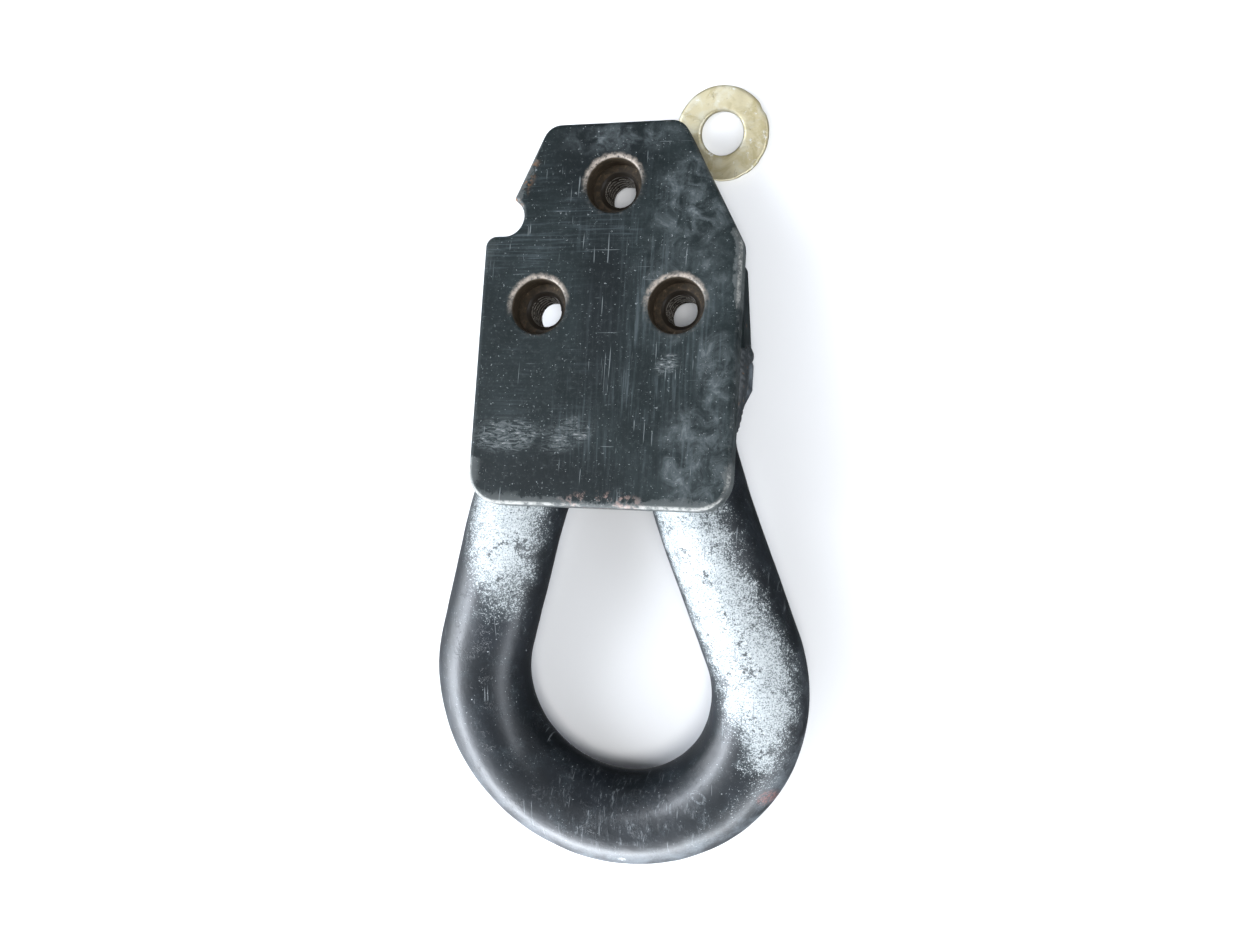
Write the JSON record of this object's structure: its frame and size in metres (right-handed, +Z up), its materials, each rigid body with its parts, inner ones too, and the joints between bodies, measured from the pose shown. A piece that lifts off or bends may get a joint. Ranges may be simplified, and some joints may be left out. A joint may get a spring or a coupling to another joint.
{
  "type": "bolt-on tow hook",
  "caption": "Black tow hook: a closed loop of round bar welded behind a flat mounting plate with bolt holes, with a loose zinc-plated washer lying beside it.",
  "frame": {"origin": "centre of the bolt circle on the plate's front face", "axes": "+Z up, off the surface that the hook lies on, face up; +Y from the loop towards the plate's top; +X to the right seen from the front. The plate's face leans back by 13.48 degrees, so its normal is (0, 0.2331, 0.9725)"},
  "size_m": [0.122, 0.2478, 0.0436],
  "materials": {
    "plate_paint": "satin black-green paint, brushed and scuffed, chipped to bright steel along the edges",
    "bar_paint": "glossy black paint, worn to a frosted grey along the tops of the legs",
    "bare_steel": "machined, dull with light rust",
    "weld_paint": "rippled weld bead under thin black paint",
    "yellow_zinc": "pale yellow zinc plating with brown stains"
  },
  "bodies": {
    "hook": {"mounting_plate": "plate_paint", "loop_bar": "bar_paint", "nut_plate": "bare_steel", "weld_nut_plate": "weld_paint", "weld_outer_right": "weld_paint", "weld_outer_left": "weld_paint", "weld_inner_right": "weld_paint", "weld_inner_left": "weld_paint", "weld_end_right": "weld_paint", "weld_end_left": "weld_paint"},
    "washer": {"washer": "yellow_zinc"}
  },
  "joints": [
    {"name": "washer_slide", "type": "slide", "parent": "hook", "child": "washer", "axis": [1, 0, 0], "range_m": [0, 0.06]}
  ]
}
